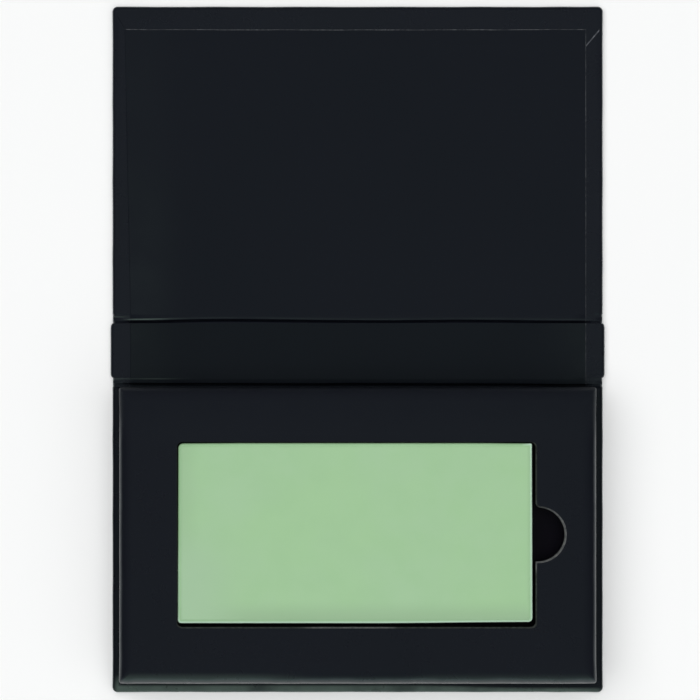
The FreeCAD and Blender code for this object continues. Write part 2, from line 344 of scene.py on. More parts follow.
def sheet_mesh(rows, drop, cut=()):
    """A closed thin sheet from rows of points; mark 1 goes to what cut names: right, far or rim."""
    across = len(rows[0])
    along = len(rows)
    verts = [point for row in rows for point in row]
    verts += [(x, y, z - drop(x, y, z)) for x, y, z in verts]
    under = across * along
    faces = []
    marks = []
    for j in range(along - 1):
        for i in range(across - 1):
            a = j * across + i
            quad = (a, a + 1, a + across + 1, a + across)
            at_right = "right" in cut and i == across - 2
            at_far = "far" in cut and j == along - 2
            faces.append(quad)
            marks.append(1 if at_right or at_far else 0)
            faces.append(tuple(under + k for k in reversed(quad)))
            marks.append(0)
    border = list(range(across))
    border += [j * across + across - 1 for j in range(1, along)]
    border += [(along - 1) * across + i for i in range(across - 2, -1, -1)]
    border += [j * across for j in range(along - 2, 0, -1)]
    for k, a in enumerate(border):
        b = border[(k + 1) % len(border)]
        faces.append((a, under + a, under + b, b))
        marks.append(1 if "rim" in cut else 0)
    return verts, faces, marks


def mark_painted_light(piece, amount):
    """Mark how far each point of a piece is painted paler, as painted sheen or highlight, for its
    material.
    """
    marks = piece.data.attributes.new("painted_light", "FLOAT", "POINT")
    for mark, vert in zip(marks.data, piece.data.vertices):
        mark.value = amount(*(vert.co / MM))


def tinted(colour, share):
    """A colour made lighter or darker."""
    return tuple(share * c for c in colour)


class Look:
    """A material's node tree, with short ways to add what the materials share."""

    def __init__(self, name):
        self.material = bpy.data.materials.new(name)
        self.material.use_nodes = True
        self.tree = self.material.node_tree
        self.bsdf = self.tree.nodes["Principled BSDF"]
        self.place = self.node("ShaderNodeTexCoord").outputs["Object"]

    def node(self, kind, **settings):
        made = self.tree.nodes.new(kind)
        for key, value in settings.items():
            setattr(made, key, value)
        return made

    def link(self, output, target):
        self.tree.links.new(output, target)

    def stretched(self, x, y, z):
        """Places for a texture drawn out along the axes with a small scale."""
        mapping = self.node("ShaderNodeMapping")
        mapping.inputs["Scale"].default_value = (x, y, z)
        self.link(self.place, mapping.inputs["Vector"])
        return mapping.outputs["Vector"]

    def noise(self, size, detail=2.0, roughness=0.5, place=None):
        """Noise whose features are about size millimetres across."""
        made = self.node("ShaderNodeTexNoise")
        made.inputs["Scale"].default_value = 1 / (size * MM)
        made.inputs["Detail"].default_value = detail
        made.inputs["Roughness"].default_value = roughness
        self.link(place or self.place, made.inputs["Vector"])
        return made.outputs["Fac"]

    def cells(self, size):
        """Distance from the middles of cells about size millimetres across."""
        made = self.node("ShaderNodeTexVoronoi")
        made.inputs["Scale"].default_value = 1 / (size * MM)
        self.link(self.place, made.inputs["Vector"])
        return made.outputs["Distance"]

    def axis(self, name):
        """One coordinate of a point, in metres."""
        made = self.node("ShaderNodeSeparateXYZ")
        self.link(self.place, made.inputs["Vector"])
        return made.outputs[name]

    def painted_light(self):
        """How far a point is marked with painted light."""
        return self.node("ShaderNodeAttribute", attribute_name="painted_light").outputs["Fac"]

    def remap(self, value, low, high, to_low=0.0, to_high=1.0):
        """An eased step from to_low to to_high while value goes from low to high."""
        made = self.node("ShaderNodeMapRange", interpolation_type="SMOOTHSTEP")
        keys = ("From Min", "From Max", "To Min", "To Max")
        for key, number in zip(keys, (low, high, to_low, to_high)):
            made.inputs[key].default_value = number
        self.link(value, made.inputs["Value"])
        return made.outputs["Result"]

    def fade(self, length, start, end, to_low=0.0, to_high=1.0):
        """The same for a length, with start and end in millimetres."""
        return self.remap(length, start * MM, end * MM, to_low, to_high)

    def reckon(self, operation, a, b):
        """Arithmetic on two values, each a number or another node's result."""
        made = self.node("ShaderNodeMath", operation=operation)
        for value, target in zip((a, b), made.inputs):
            if isinstance(value, float):
                target.default_value = value
            else:
                self.link(value, target)
        return made.outputs["Value"]

    def times(self, a, b):
        return self.reckon("MULTIPLY", a, b)

    def plus(self, a, b):
        return self.reckon("ADD", a, b)

    def larger(self, a, b):
        return self.reckon("MAXIMUM", a, b)

    def mix(self, factor, first, second):
        """A colour between two others, each a constant or another node's result."""
        made = self.node("ShaderNodeMix", data_type="RGBA")
        self.link(factor, made.inputs["Factor"])
        for value, index in ((first, MIX_FIRST), (second, MIX_SECOND)):
            if isinstance(value, tuple):
                made.inputs[index].default_value = (*value, 1.0)
            else:
                self.link(value, made.inputs[index])
        return made.outputs[MIX_RESULT]

    def colour(self, value):
        self.link(value, self.bsdf.inputs["Base Color"])

    def roughness(self, value):
        self.link(value, self.bsdf.inputs["Roughness"])

    def bumps(self, *layers):
        """Stacked relief: each layer is (height, depth in millimetres, strength)."""
        normal = None
        for height, depth, strength in layers:
            made = self.node("ShaderNodeBump")
            made.inputs["Distance"].default_value = depth * MM
            made.inputs["Strength"].default_value = strength
            self.link(height, made.inputs["Height"])
            if normal:
                self.link(normal, made.inputs["Normal"])
            normal = made.outputs["Normal"]
        self.link(normal, self.bsdf.inputs["Normal"])

    def set(self, **values):
        """Constants of the surface, named as its sockets are."""
        for key, value in values.items():
            self.bsdf.inputs[key.replace("_", " ")].default_value = value


def black_paper(name, tone, patch, gloss, shine=0.5, painted_highlight=None, dulled=None):
    """Dyed black paper with slow patches, fine fibres, a scuffed sheen, a little dust, and painted sheen
    where marked.
    """
    painted_sheen_tone = (0.070, 0.098, 0.083)
    sheen = (0.78, 0.96, 1.0, 1.0)
    look = Look(name)
    patches = look.remap(look.noise(60), 0.40, 0.70)
    fibres = look.noise(0.9, 3.0, 0.6, look.stretched(1.0, 0.35, 1.0))
    grain = look.noise(0.28)
    dust = look.remap(look.cells(7.0), 0.035, 0.02)
    dusty = look.times(dust, look.remap(look.noise(15), 0.5, 0.62))
    sheen_patches = look.remap(look.noise(14, 3.0, 0.6), 0.25, 0.65, 0.35, 1.0)
    painted_light_share = look.times(look.painted_light(), sheen_patches)
    if painted_highlight:
        painted_light_share = look.plus(painted_light_share, painted_highlight(look))
    # Painted sheen and highlights: marked points, and any band given, are mixed towards a pale tone.
    base = look.mix(painted_light_share, look.mix(patches, tone, patch), painted_sheen_tone)
    flecks = look.remap(grain, 0.60, 0.78, 0.0, 0.3)
    flecked = look.mix(flecks, base, tinted(tone, 1.7))
    look.colour(look.mix(look.times(dusty, 0.5), flecked, tinted(tone, 4.0)))
    scuffs = look.remap(look.noise(11, 3.0, 0.6), 0.3, 0.7, gloss - 0.02, gloss + 0.03)
    if dulled:
        scuffs = look.plus(scuffs, dulled(look))
    look.roughness(scuffs)
    look.bumps((fibres, 0.008, 0.4), (grain, 0.004, 0.4))
    look.set(Specular_IOR_Level=shine, Specular_Tint=sheen)
    return look.material


def tray_painted_highlight(look):
    """Painted highlight along the roll of the tray's front, for its reflection of the front light: a
    mitred band, widest at the left.
    """
    x, y, z = [look.axis(name) for name in "XYZ"]
    front = tray_low.y
    narrow = look.fade(y, front + 3.3, front + 1.6, 0.0, 0.12)
    wide = look.fade(y, front + 4.4, front + 2.4, 0.0, 0.20)
    left = look.fade(x, -12.0, -40.0)
    right = look.fade(x, 14.0, 28.0, 0.0, 0.35)
    band = look.plus(narrow, look.times(wide, look.larger(left, right)))
    upper = look.fade(z, tray_high.z - 3.0, tray_high.z - 1.2)
    left_mitre = tray_low.x - front
    right_mitre = tray_high.x + front
    from_left = look.fade(look.reckon("SUBTRACT", x, y), left_mitre - 0.5, left_mitre + 0.3)
    from_right = look.fade(look.plus(x, y), right_mitre + 0.5, right_mitre - 0.3)
    between = look.times(from_left, from_right)
    return look.times(look.times(upper, between), band)


def tray_dulled(look):
    """How much rougher the tray's paper is towards its rear edge and its sides."""
    x, y = [look.axis(name) for name in "XY"]
    rear = look.fade(y, tray_high.y - 22.0, tray_high.y - 6.0, 0.0, 0.30)
    left = look.fade(x, tray_low.x + 6.0, tray_low.x + 2.0, 0.0, 0.04)
    right = look.fade(x, tray_high.x - 6.0, tray_high.x - 2.0, 0.0, 0.04)
    return look.larger(rear, look.larger(left, right))


def cut_paper(name, dyed, bare, least):
    """The papers' paler core where a blade has cut them, bare by at least the share given."""
    look = Look(name)
    fibres = look.remap(look.noise(1.4, 4.0, 0.65), 0.3, 0.7)
    fray = look.times(fibres, look.remap(look.noise(16), 0.35, 0.62, least))
    look.colour(look.mix(fray, dyed, bare))
    look.bumps((look.noise(0.3), 0.03, 0.6))
    look.set(Roughness=0.8)
    return look.material


def greyboard(name, dark, light):
    """Pressed grey board: mixed fibres, flecks and a soft broken surface."""
    look = Look(name)
    fibres = look.noise(1.1, 5.0, 0.7, look.stretched(1.0, 0.5, 1.6))
    flecks = look.remap(look.cells(1.6), 0.0, 0.35, 0.6, 0.0)
    body = look.mix(look.remap(fibres, 0.3, 0.7), dark, light)
    look.colour(look.mix(look.times(flecks, 0.5), body, tinted(dark, 0.45)))
    look.bumps((fibres, 0.05, 0.6))
    look.set(Roughness=0.9)
    return look.material


def die_cut_board():
    """The deck's board, with painted light and shade on its cut faces: grey at the notch and the front's
    middle, dark elsewhere.
    """
    look = Look("die_cut_board")
    x, y = [look.axis(name) for name in "XY"]
    fibres = look.remap(look.noise(1.3, 4.0, 0.65), 0.3, 0.7)
    lit_place = (window_right + notch_offset + 2.4, notch_y - 2.0, tray_high.z)
    from_notch = look.node("ShaderNodeVectorMath", operation="DISTANCE")
    look.link(look.place, from_notch.inputs[0])
    from_notch.inputs[1].default_value = [c * MM for c in lit_place]
    by_notch = look.fade(from_notch.outputs["Value"], 12.5, 9.0)
    middle = look.times(look.fade(x, -21.0, -13.0), look.fade(x, 15.0, 9.0))
    in_front = look.fade(y, window_front + 2.0, window_front + 1.0)
    # Painted light where the light falls on the cut faces, and painted shade elsewhere.
    painted_light_share = look.larger(by_notch, look.times(in_front, middle))
    shaded_board = look.mix(fibres, (0.012, 0.013, 0.0125), (0.044, 0.050, 0.048))
    core = look.mix(fibres, (0.055, 0.059, 0.062), (0.125, 0.127, 0.124))
    look.colour(look.mix(painted_light_share, shaded_board, core))
    look.bumps((look.noise(1.1, 4.0, 0.6), 0.05, 0.5))
    look.set(Roughness=0.85)
    return look.material


def tape_paper():
    """Brown paper tape with fibres that run up it."""
    look = Look("tape_paper")
    fibres = look.noise(1.6, 4.0, 0.6, look.stretched(1.0, 1.0, 0.3))
    look.colour(look.mix(look.remap(fibres, 0.3, 0.7), (0.27, 0.19, 0.115), (0.40, 0.30, 0.19)))
    look.bumps((fibres, 0.02, 0.5))
    look.set(Roughness=0.75)
    return look.material


def liner_plastic():
    """Black plastic with a faint haze."""
    look = Look("liner_plastic")
    haze = look.noise(9, 3.0, 0.6)
    look.colour(look.mix(haze, (0.0014, 0.0011, 0.0028), (0.0024, 0.0020, 0.0040)))
    look.roughness(look.remap(haze, 0.3, 0.7, 0.42, 0.55))
    look.bumps((look.noise(0.5), 0.01, 0.3))
    look.set(Specular_IOR_Level=0.2)
    return look.material


def darker_edges(look):
    """How much darker pad and sheet are towards their edges: most in front, least at the right."""
    x, y = [look.axis(name) for name in "XY"]
    front = look.fade(y, pad_low.y + 8.5, pad_low.y + 0.8)
    left = look.fade(x, pad_low.x + 9.0, pad_low.x + 0.3, 0.0, 0.6)
    right = look.fade(x, pad_high.x - 3.0, pad_high.x - 0.5, 0.0, 0.4)
    return look.larger(front, look.larger(left, right))


def foam(name, dark, light, cell, depth, damp=False):
    """Open-cell foam: small pits over a softly mottled body, with a painted highlight where marked."""
    look = Look(name)
    mottle = look.remap(look.noise(24, 3.0, 0.55), 0.3, 0.7)
    pits = look.cells(cell)
    pores = look.remap(pits, 0.0, 0.45, 1.0, 0.0)
    body = look.mix(mottle, dark, light)
    if damp:
        body = look.mix(darker_edges(look), body, tinted(light, 0.85))
    # Painted highlight on the marked points of the pad's rim.
    lightened = look.mix(look.painted_light(), body, (0.62, 0.84, 0.68))
    look.colour(look.mix(look.times(pores, 0.22), lightened, tinted(dark, 0.6)))
    look.bumps((pits, depth, 0.5), (look.noise(cell * 0.4), depth * 0.5, 0.4))
    look.set(Roughness=0.85)
    return look.material


def damp_sheet():
    """Thin palette paper in the pad's colour: damp, drier at the lower left, with a faint sheen."""
    look = Look("damp_sheet")
    x, y = [look.axis(name) for name in "XY"]
    cast = look.remap(look.noise(30, 3.0, 0.6), 0.35, 0.7)
    cloud = look.remap(look.noise(9, 3.0, 0.6), 0.3, 0.75)
    fibres = look.noise(0.7, 3.0, 0.6)
    specks = look.remap(look.cells(5.5), 0.03, 0.016)
    few = look.times(specks, look.remap(look.noise(18), 0.52, 0.6))
    body = look.mix(cast, (0.337, 0.547, 0.302), (0.343, 0.540, 0.319))
    clouded = look.mix(look.times(cloud, 0.35), body, (0.322, 0.526, 0.290))
    edge_darkened = look.mix(darker_edges(look), clouded, (0.294, 0.455, 0.274))
    at_left = look.fade(x, pad_low.x + 30.0, pad_low.x + 4.0)
    in_front = look.fade(y, notch_y + 8.0, notch_y - 14.0)
    lightened = look.mix(look.times(at_left, in_front), edge_darkened, (0.343, 0.520, 0.328))
    look.colour(look.mix(look.times(few, 0.35), lightened, (0.20, 0.34, 0.19)))
    look.roughness(look.remap(cloud, 0.0, 1.0, 0.50, 0.62))
    look.bumps((fibres, 0.010, 0.4), (look.noise(14), 0.12, 0.35))
    return look.material


def steel():
    """Plated metal with a fine brushed grain."""
    look = Look("magnet_metal")
    brushed = look.noise(0.5, 3.0, 0.6, look.stretched(0.2, 1.0, 1.0))
    look.colour(look.mix(brushed, (0.50, 0.50, 0.51), (0.60, 0.60, 0.61)))
    look.roughness(look.remap(brushed, 0.2, 0.8, 0.25, 0.42))
    look.set(Metallic=1.0)
    return look.material


covering = black_paper("covering_paper", (0.0067, 0.0075, 0.0114), (0.0062, 0.0073, 0.0105), 0.28)
lining = black_paper("lining_paper", (0.0048, 0.0055, 0.0090), (0.0045, 0.0053, 0.0085), 0.34)
# The spine's lining paper is darker than the cover's: painted shade of the trough between cover and
# tray.
shaded_spine_paper = black_paper("spine_lining_paper", (0.0037, 0.0047, 0.0071), (0.0033, 0.0043, 0.0064), 0.34)
# The base's paper is darker than the cover's: painted shade beside the tray.
shaded_base_paper = black_paper("shaded_base_paper", (0.0044, 0.0051, 0.0076), (0.0040, 0.0049, 0.0070), 0.28)
# The tray's paper carries a painted highlight along its front roll.
tray_paper = black_paper(
    "tray_paper", (0.0058, 0.0065, 0.0101), (0.0055, 0.0063, 0.0096), 0.28,
    shine=0.40, painted_highlight=tray_painted_highlight, dulled=tray_dulled,
)
cut_edge = cut_paper("paper_cut_edge", (0.011, 0.013, 0.017), (0.105, 0.112, 0.118), 0.4)
bare_core = cut_paper("paper_core", (0.042, 0.046, 0.053), (0.115, 0.122, 0.138), 0.45)
pad_foam = foam("pad_foam", (0.315, 0.520, 0.290), (0.345, 0.556, 0.322), 0.42, 0.05, damp=True)

# Finishes of the solids that are shown as they are
SLOT_FINISH = {
    "greyboard": greyboard("greyboard", (0.16, 0.145, 0.12), (0.27, 0.245, 0.205)),
    "rail_board": greyboard("rail_board", (0.19, 0.155, 0.11), (0.30, 0.25, 0.19)),
    "tape_paper": tape_paper(),
    "liner_plastic": liner_plastic(),
    "block_foam": foam("block_foam", (0.016, 0.016, 0.018), (0.026, 0.026, 0.028), 0.9, 0.15),
    "magnet_metal": steel(),
    "lining_paper": lining,
}
NODE_FINISH = {"deck_board": die_cut_board()}


def dress_cad_nodes():
    """Each solid that is shown takes its own finish, or else that of its material slot."""
    for part in frame["record"]["subparts"]:
        node = frame["nodes"][part["node"]]
        finish = NODE_FINISH.get(part["node"]) or SLOT_FINISH.get(part["material_slot"])
        if finish:
            node.data.materials.clear()
            node.data.materials.append(finish)


def left_end(x):
    """1 at the case's left end, where the painted highlights and sheen are strongest, and 0 well inside
    it.
    """
    return past(-x, start=58, run=16)


def base_front_sheen(x, y, z):
    """Painted sheen along the base's front edge, less towards its right end."""
    reach = 2.85 - 0.9 * past(x, start=15, run=45)
    from_side = past(half_width - abs(x), start=0, run=2.4)
    in_front = smooth(base_low.y + reach - y)
    on_top = past(z, start=0.7, run=0.5)
    return from_side * in_front * on_top


def crest(y, centre, half):
    """A rounded ridge, 1 at its centre and 0 at half its width to either side."""
    return smooth(1 - abs(y - centre) / half)


def cover_crest_highlight(x, y, z):
    """Painted highlight on the crest along the cover's fold, palest at the left."""
    beside_lining = abs(x) > lining_left + 0.5
    if beside_lining:
        return 0.30 * crest(y, spine_high.y + 2.2, half=0.45) * left_end(x)
    bed = (cover_low.y - spine_high.y) * along_path(cover_bed, x)
    line = crest(y, spine_high.y + bed + 0.93, half=0.36) * past(z, start=1.9, run=0.4)
    return line * (0.10 + 0.9 * left_end(x))


def base_crest_highlight(x, y, z):
    """Painted highlight on the crest along the base's fold, pale only at its left end, with the spine's
    ends painted paler.
    """
    line = crest(y, spine_low.y - 0.25, half=0.45) * past(z, start=1.4, run=0.4)
    return line * (0.015 + 0.22 * past(-x, start=56, run=15)) + spine_ends_eased(x, y, z)


def spine_ends_eased(x, y, z):
    """The two ends of the spine's lining, a little paler than its middle, where its painted shade is
    eased.
    """
    return 0.042 * past(-x, start=60, run=20) + 0.030 * past(x, start=58, run=22)


def lining_left_sheen(x, y, z):
    """Painted sheen on the lining's left side, paler towards the fold."""
    return 0.04 * left_end(x) * (0.3 + 0.7 * past(-y, start=-80, run=60))


def pad_rim_highlight(x, y, z):
    """Painted highlight on the pad's rim at the right, the front and the lower left."""
    reach = 2.0
    below = pad_high.z - z
    on_rim = past(below, start=0.03, run=0.2) * past(-below, -reach, run=0.8)
    right = smooth(x - pad_high.x + reach)
    front = smooth(pad_low.y + reach - y)
    left = 0.4 * smooth(pad_low.x + reach - x) * past(notch_y - y, start=-4, run=16)
    return 0.8 * on_rim * max(right, front, left)


def rim_profile():
    """(inset, height) round a panel's turned edge, from the turn-in's inner edge to the underside."""
    turns = quarter_turn(7)
    flats = [turn_in, turn_in / 2]
    flats += [corner_fade - fade_step * k for k in range(4)]
    flats.append(rim_radius + rim_hold)
    profile = [(inset, panel_top) for inset in flats]
    profile += [(rim_radius * (1 - sin(a)), panel_top - rim_radius * (1 - cos(a))) for a in turns]
    profile += [(rim_radius * (1 - cos(a)), rim_radius * (1 - sin(a))) for a in turns]
    return profile + [(rim_radius + rim_hold, 0.0)]


def corner_share(inset):
    """How much of the corner cut off at a joint is left in one ring of a turned edge."""
    return min(1.0, max(0.0, (corner_fade - inset) / (corner_fade - rim_radius - rim_hold)))


def sway_share(inset):
    """How far one ring of a turned edge sways: most at the edge, none inside the turn-in."""
    return edge_sway * max(0.0, 1 - inset / turn_in)


def side_run(inset, end):
    """One side of the cover or the base, from its cut corner at the joint: (inset, distance) pairs."""
    share = corner_share(inset)
    start = max(joint_clip, share * (joint_clip + inset * (sqrt(2) - 1)))
    sway = sway_share(inset)
    run = [(inset + sway * inward(d, phase=1.3), d) for d in [start] + spread(start, end, count=22)]
    return [(inset + share * start, 0.0)] + run


def spine_run(inset, length):
    """One end of the spine, rounded off at both joints: (inset, distance) pairs."""
    clip = spine_clip * corner_share(inset)
    first = [(inset + clip * (1 - sin(a)), spine_round * (1 - cos(a))) for a in quarter_turn(6)]
    middle = [(inset, d) for d in spread(spine_round, length - spine_round, count=7)]
    return first + middle + [(i, length - d) for i, d in reversed(first)]


def turned_panel(name, joint_y, end_y, finish):
    """Covering paper of the cover or the base, turned over at both sides and at the end."""
    away = 1 if end_y > joint_y else -1
    reach = abs(end_y - joint_y)
    rings = []
    for inset, z in rim_profile():
        radius = max(panel_corner - inset, least_corner)
        turn_x = half_width - inset - radius
        turn_d = reach - inset - radius
        side = side_run(inset, turn_d)
        sway = sway_share(inset)
        path = [(i - half_width, d) for i, d in side]
        path += arc(-turn_x, turn_d, radius, 180, 90)
        end = spread(-turn_x, turn_x, count=40)
        path += [(x, reach - inset - sway * inward(x, phase=2.1)) for x in end]
        path += arc(turn_x, turn_d, radius, 90, 0)
        path += [(half_width - i, d) for i, d in reversed(side)]
        rings.append([(x, joint_y + away * d, z) for x, d in path])
    verts, faces = loft(rings, False)
    last = len(verts) - len(rings[0])
    faces.append(tuple(range(last, len(verts))))
    return thicken(make_piece(name, verts, faces, [finish, cut_edge]))


def spine_covering():
    """Covering paper of the spine, turned over at its two ends."""
    length = spine_high.y - spine_low.y
    verts = []
    faces = []
    low_edges = []
    for side in (-1, 1):
        rings = []
        for inset, z in rim_profile():
            run = spine_run(inset, length)
            rings.append([(side * (spine_half - i), spine_low.y + d, z) for i, d in run])
        ring_verts, ring_faces = loft(rings, False)
        shift = len(verts)
        verts += ring_verts
        faces += [tuple(shift + k for k in face) for face in ring_faces]
        low_edges.append(list(range(len(verts) - len(rings[0]), len(verts))))
    faces.append(tuple(low_edges[0] + low_edges[1][::-1]))
    return thicken(make_piece("spine_covering", verts, faces, [covering, cut_edge]))


def corner_flap(name, side, drop, slope, bare, core):
    """End of a side turn-in, cut on the skew over the far one, with its core along the cut in the paper
    given: bare, or painted dark as shade.
    """
    rows = []
    for k in range(flap_steps + 2):
        past_cut = k > flap_steps
        row = []
        for inset in flap_insets:
            cut = cover_high.y - drop - slope * inset
            y = cut + bare if past_cut else cut - flap_run * (1 - k / flap_steps)
            lift = flap_rise * past(y - cut, -flap_run, flap_ramp)
            lift *= past(inset, flap_rim, flap_rim_run)
            z = panel_top + flap_lift + (flap_cut_share * lift if past_cut else lift)
            row.append((side * (half_width - inset), y, z))
        rows.append(row)
    verts, faces, marks = sheet_mesh(rows, lambda x, y, z: z - panel_top + flap_sink, ("far",))
    return make_piece(name, verts, faces, [covering, core], marks, sharp=25)


def ghost(x, y):
    """Depth by which the lining sinks inside the edges of the turn-ins under it."""
    from_side = (half_width - turn_in - abs(x)) / ghost_blur
    from_end = (cover_high.y - turn_in - y) / ghost_blur
    return lining_ghost * smooth(from_side + 0.5) * smooth(from_end + 0.5)


def lining_columns(left):
    """Places across a lining, closer at its cut edges and over the turn-ins' edges."""
    inner = half_width - turn_in
    near = [-inner + k for k in ghost_columns]
    middle = spread(near[-1], -near[-1], count=40)
    far = [-x for x in reversed(near)]
    right = lining_right
    return [left, left + lining_bevel] + near + middle + far + [right - lining_bevel, right]


def side_lip(i, columns):
    """Drop of a lining's cut sides below its face."""
    return lining_lip if i in (0, len(columns) - 1) else 0.0


def above_turn_ins(x, y, z):
    """Thickness of a lining down to the papers turned in under it."""
    return z - panel_top - lining_lift


def cover_lining():
    """Lining of the cover, with a slanting left edge and a far edge that sags and wanders."""
    start = lining_low.y
    inner = cover_high.y - turn_in
    bevel_y = lining_far - lining_far_bevel
    stations = [start] + spread(start, inner + ghost_rows[0], count=24)
    stations += [inner + k for k in ghost_rows] + [bevel_y, lining_far]
    rows = []
    for y in stations:
        share = (y - start) / (lining_far - start)
        left = -lining_left - (lining_left_far - lining_left) * share
        columns = lining_columns(left)
        row = []
        for i, x in enumerate(columns):
            lip = lining_lip if y == lining_far else side_lip(i, columns)
            wander = 0.0
            if y >= bevel_y:
                sag = lining_sag * (1 - (x / lining_right) ** 2)
                wander = lining_wander * wave(x, phase=0.6) - sag
            row.append((x, y + wander, lining_top - ghost(x, y) - lip))
        rows.append(row)
    verts, faces, marks = sheet_mesh(rows, above_turn_ins, ("right", "far", "rim"))
    return make_piece("cover_lining_paper", verts, faces, [lining, cut_edge], marks, sharp=18)


def spine_lining():
    """Lining of the spine, flat and cut at its two ends."""
    columns = lining_columns(-lining_left)
    rows = []
    for y in [spine_low.y] + spread(spine_low.y, spine_high.y, count=10) + [spine_high.y]:
        rows.append([(x, y, lining_top - side_lip(i, columns)) for i, x in enumerate(columns)])
    verts, faces, marks = sheet_mesh(rows, above_turn_ins, ("right", "rim"))
    return make_piece("spine_lining_paper", verts, faces, [shaded_spine_paper, cut_edge], marks, sharp=25)


def groove(knots, x, share, gap):
    """How deep a fold's groove is, from 0 at its rims to 1 at its bed, with an uneven bed line."""
    bed = along_path(knots, x) + groove_sway * wave(0.3 * x, phase=0.9)
    if share < bed:
        shoulder = smooth(share / bed)
        slit = smooth(1 - (bed - share) * gap / slit_front)
    else:
        shoulder = smooth((1 - share) / (1 - bed))
        slit = smooth(1 - (share - bed) * gap / slit_rear)
    return slit_share * slit + (1 - slit_share) * shoulder


def fold_lining(name, front_y, rear_y, knots, finish):
    """Lining pressed down into a fold's groove."""
    gap = rear_y - front_y
    columns = lining_columns(-lining_left)
    rows = []
    for k in range(fold_steps + 1):
        share = k / fold_steps
        row = []
        for i, x in enumerate(columns):
            z = lining_top - groove_depth * groove(knots, x, share, gap) - side_lip(i, columns)
            row.append((x, front_y + gap * share, z))
        rows.append(row)
    verts, faces, marks = sheet_mesh(rows, lambda x, y, z: paper_t, ("right", "rim"))
    return make_piece(name, verts, faces, [finish, cut_edge], marks, sharp=35)


def fold_covering(name, front_y, rear_y, knots):
    """Covering paper in a fold: pressed up, packed under the lining and nearly flat beside it."""
    gap = rear_y - front_y
    edge = fold_end - fold_edge
    columns = [-fold_end, -edge] + spread(-edge, edge, count=56) + [edge, fold_end]
    tops = []
    unders = {}
    for k in range(fold_steps + 1):
        share = k / fold_steps
        y = front_y + gap * share
        low = under_depth * smooth(2 * min(share, 1 - share))
        row = []
        for i, x in enumerate(columns):
            beside_lining = past(abs(x), lining_left, end_run)
            depth = groove_depth * (1 - (1 - end_depth) * beside_lining)
            top = panel_top - depth * groove(knots, x, share, gap) - fold_clear
            at_end = i in (0, len(columns) - 1)
            squeeze = fold_squeeze * (top - low) if at_end else 0.0
            row.append((x, y, top - squeeze))
            unders[(x, y)] = low + squeeze
        tops.append(row)
    verts, faces, marks = sheet_mesh(tops, lambda x, y, z: z - unders[(x, y)])
    return make_piece(name, verts, faces, [covering], marks, sharp=50)


def roll_inset(radius, drop):
    """How far a rolled edge stands back at a drop below the deck: an arc with a softened start."""
    if drop >= radius:
        return 0.0
    plain = radius - sqrt(radius ** 2 - (radius - drop) ** 2)
    return plain + roll_start * exp(-drop / roll_start_depth)


def tray_ring(z, extra=0.0):
    """The tray's outline at one height; extra draws it in further."""
    drop = tray_high.z - z
    plain_side = roll_inset(side_roll, drop) + extra
    plain_front = roll_inset(front_roll, drop) + extra
    half = tray_high.x
    radius = max(tray_corner - plain_side, least_corner)
    x_side = half - plain_side
    y_low = tray_low.y + plain_front
    y_high = tray_high.y - plain_side
    x_turn = x_side - radius
    y_front = y_low + radius
    y_rear = y_high - radius

    def side_at(y, phase):
        return roll_inset(side_roll - side_slack * inward(y, phase), drop) + extra

    def front_at(x):
        return roll_inset(front_roll - front_slack * inward(x, phase=0.4), drop) + extra

    def stand_in(y):
        return past(y, y_front, stand_in_run) * past(-y, -y_rear, stand_in_run)

    def right_at(y):
        return half - side_at(y, phase=1.1) - right_stand_in * stand_in(y)

    def left_at(y):
        return side_at(y, phase=2.4) - half + left_stand_in * stand_in(y)

    bends = corner_arcs(-x_side, x_side, y_low, y_high, [radius] * 4)
    runs = (
        [(x, tray_low.y + front_at(x)) for x in spread(-x_turn, x_turn, tray_long_steps)],
        [(right_at(y), y) for y in spread(y_front, y_rear, tray_short_steps)],
        [(x, y_high) for x in spread(x_turn, -x_turn, tray_long_steps)],
        [(left_at(y), y) for y in spread(y_rear, y_front, tray_short_steps)],
    )
    return [(x, y, z) for bend, run in zip(bends, runs) for x, y in bend + run]


def window_ring(z):
    """The window and notch as cut in the paper, flush with the board only at the left and the rear."""
    left = window_left - cut_flush
    right = window_right + cut_right
    front = window_front - cut_front
    rear = window_rear + cut_flush
    centre_x = window_right + notch_offset + cut_shift
    reach = notch_r + cut_notch

    def fillet(side, radius):
        """Centre height and lean, in degrees, of a fillet between the notch and the window."""
        run = right + radius - centre_x
        rise = sqrt((reach + radius) ** 2 - run ** 2)
        return notch_y + side * rise, degrees(acos(run / (reach + radius)))

    front_y, front_lean = fillet(-1, front_fillet)
    rear_y, rear_lean = fillet(1, rear_fillet)
    bends = corner_arcs(left, right, front, rear, [window_corner] * 4)
    ring = bends[0] + spread_line(bends[0][-1], bends[1][0], count=30) + bends[1]
    ring += arc(right + front_fillet, front_y, front_fillet, 180, 180 - front_lean)
    ring += arc(centre_x, notch_y, reach, -front_lean, rear_lean, steps=40)[1:-1]
    ring += arc(right + rear_fillet, rear_y, rear_fillet, 180 + rear_lean, 180)
    ring += bends[2] + bends[3]
    return [(x, y, z) for x, y in ring]


def close_deck(piece, count):
    """Fill a tray's covering flat between its first ring of points and the window."""
    shape = bmesh.new()
    shape.from_mesh(piece.data)
    shape.verts.ensure_lookup_table()
    outer = [shape.verts[i] for i in range(count)]
    window = [shape.verts.new([c * MM for c in point]) for point in window_ring(tray_high.z)]
    loops = []
    for ring in (outer, window):
        for i, vert in enumerate(ring):
            pair = (vert, ring[(i + 1) % len(ring)])
            loops.append(shape.edges.get(pair) or shape.edges.new(pair))
    filled = bmesh.ops.triangle_fill(shape, use_beauty=True, edges=loops)["geom"]
    for face in filled:
        if isinstance(face, bmesh.types.BMFace):
            face.smooth = False
    bmesh.ops.recalc_face_normals(shape, faces=shape.faces[:])
    shape.to_mesh(piece.data)
    shape.free()


